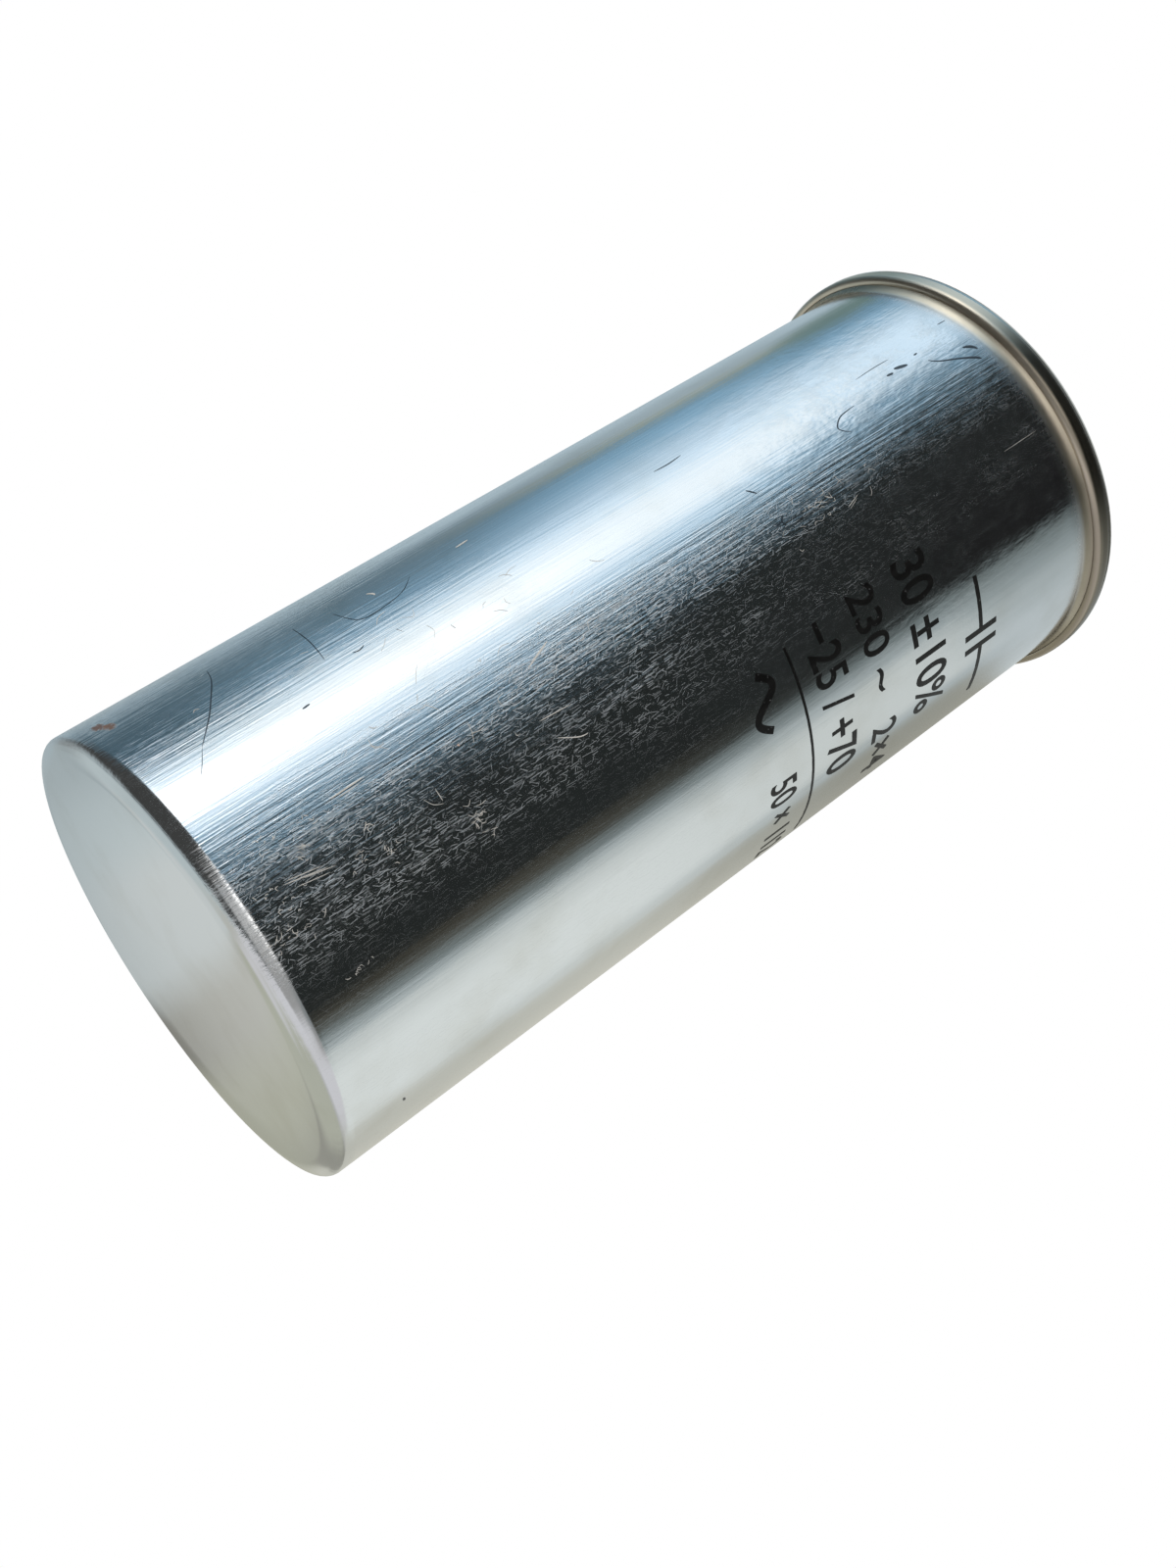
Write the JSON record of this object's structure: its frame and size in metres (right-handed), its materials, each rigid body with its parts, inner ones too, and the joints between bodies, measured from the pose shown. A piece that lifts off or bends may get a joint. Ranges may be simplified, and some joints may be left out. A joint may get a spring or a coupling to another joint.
{
  "type": "motor-run capacitor",
  "caption": "Round motor-run film capacitor: drawn aluminium can with a plain closed end, a folded seam and a recessed cover that carries push-on blade terminals.",
  "frame": {"origin": "middle of the closed end's outer face, on which the can stands", "axes": "+Z along the can's axis, towards the terminals; +X from the left terminal to the right one"},
  "size_m": [0.053, 0.053, 0.1206],
  "materials": {
    "can_metal": "drawn, scratched along the axis",
    "cover_metal": "tinned sheet, rolled",
    "gasket_rubber": "matt",
    "insulator_plastic": "moulded",
    "terminal_metal": "tinned stamping",
    "rivet_metal": "tinned",
    "washer_board": "laminated board",
    "lug_metal": "tinned stamping",
    "winding_film": "wound metallised film",
    "core_plastic": "extruded tube",
    "spray_metal": "rough sprayed metal",
    "liner_plastic": "rolled sheet",
    "spacer_plastic": "moulded",
    "lead_wire": "tinned copper wire",
    "sleeve_plastic": "extruded sleeve"
  },
  "bodies": {
    "root": {"can": "can_metal", "cover": "cover_metal", "seam_gasket": "gasket_rubber", "insulator_left": "insulator_plastic", "insulator_right": "insulator_plastic", "terminal_left": "terminal_metal", "terminal_right": "terminal_metal", "rivet_left": "rivet_metal", "rivet_right": "rivet_metal", "washer_left": "washer_board", "washer_right": "washer_board", "lug_left": "lug_metal", "lug_right": "lug_metal", "winding": "winding_film", "core_tube": "core_plastic", "spray_top": "spray_metal", "spray_bottom": "spray_metal", "liner": "liner_plastic", "bottom_pad": "spacer_plastic", "top_spacer": "spacer_plastic", "lead_short": "lead_wire", "lead_long": "lead_wire", "lead_sleeve": "sleeve_plastic"}
  },
  "joints": []
}
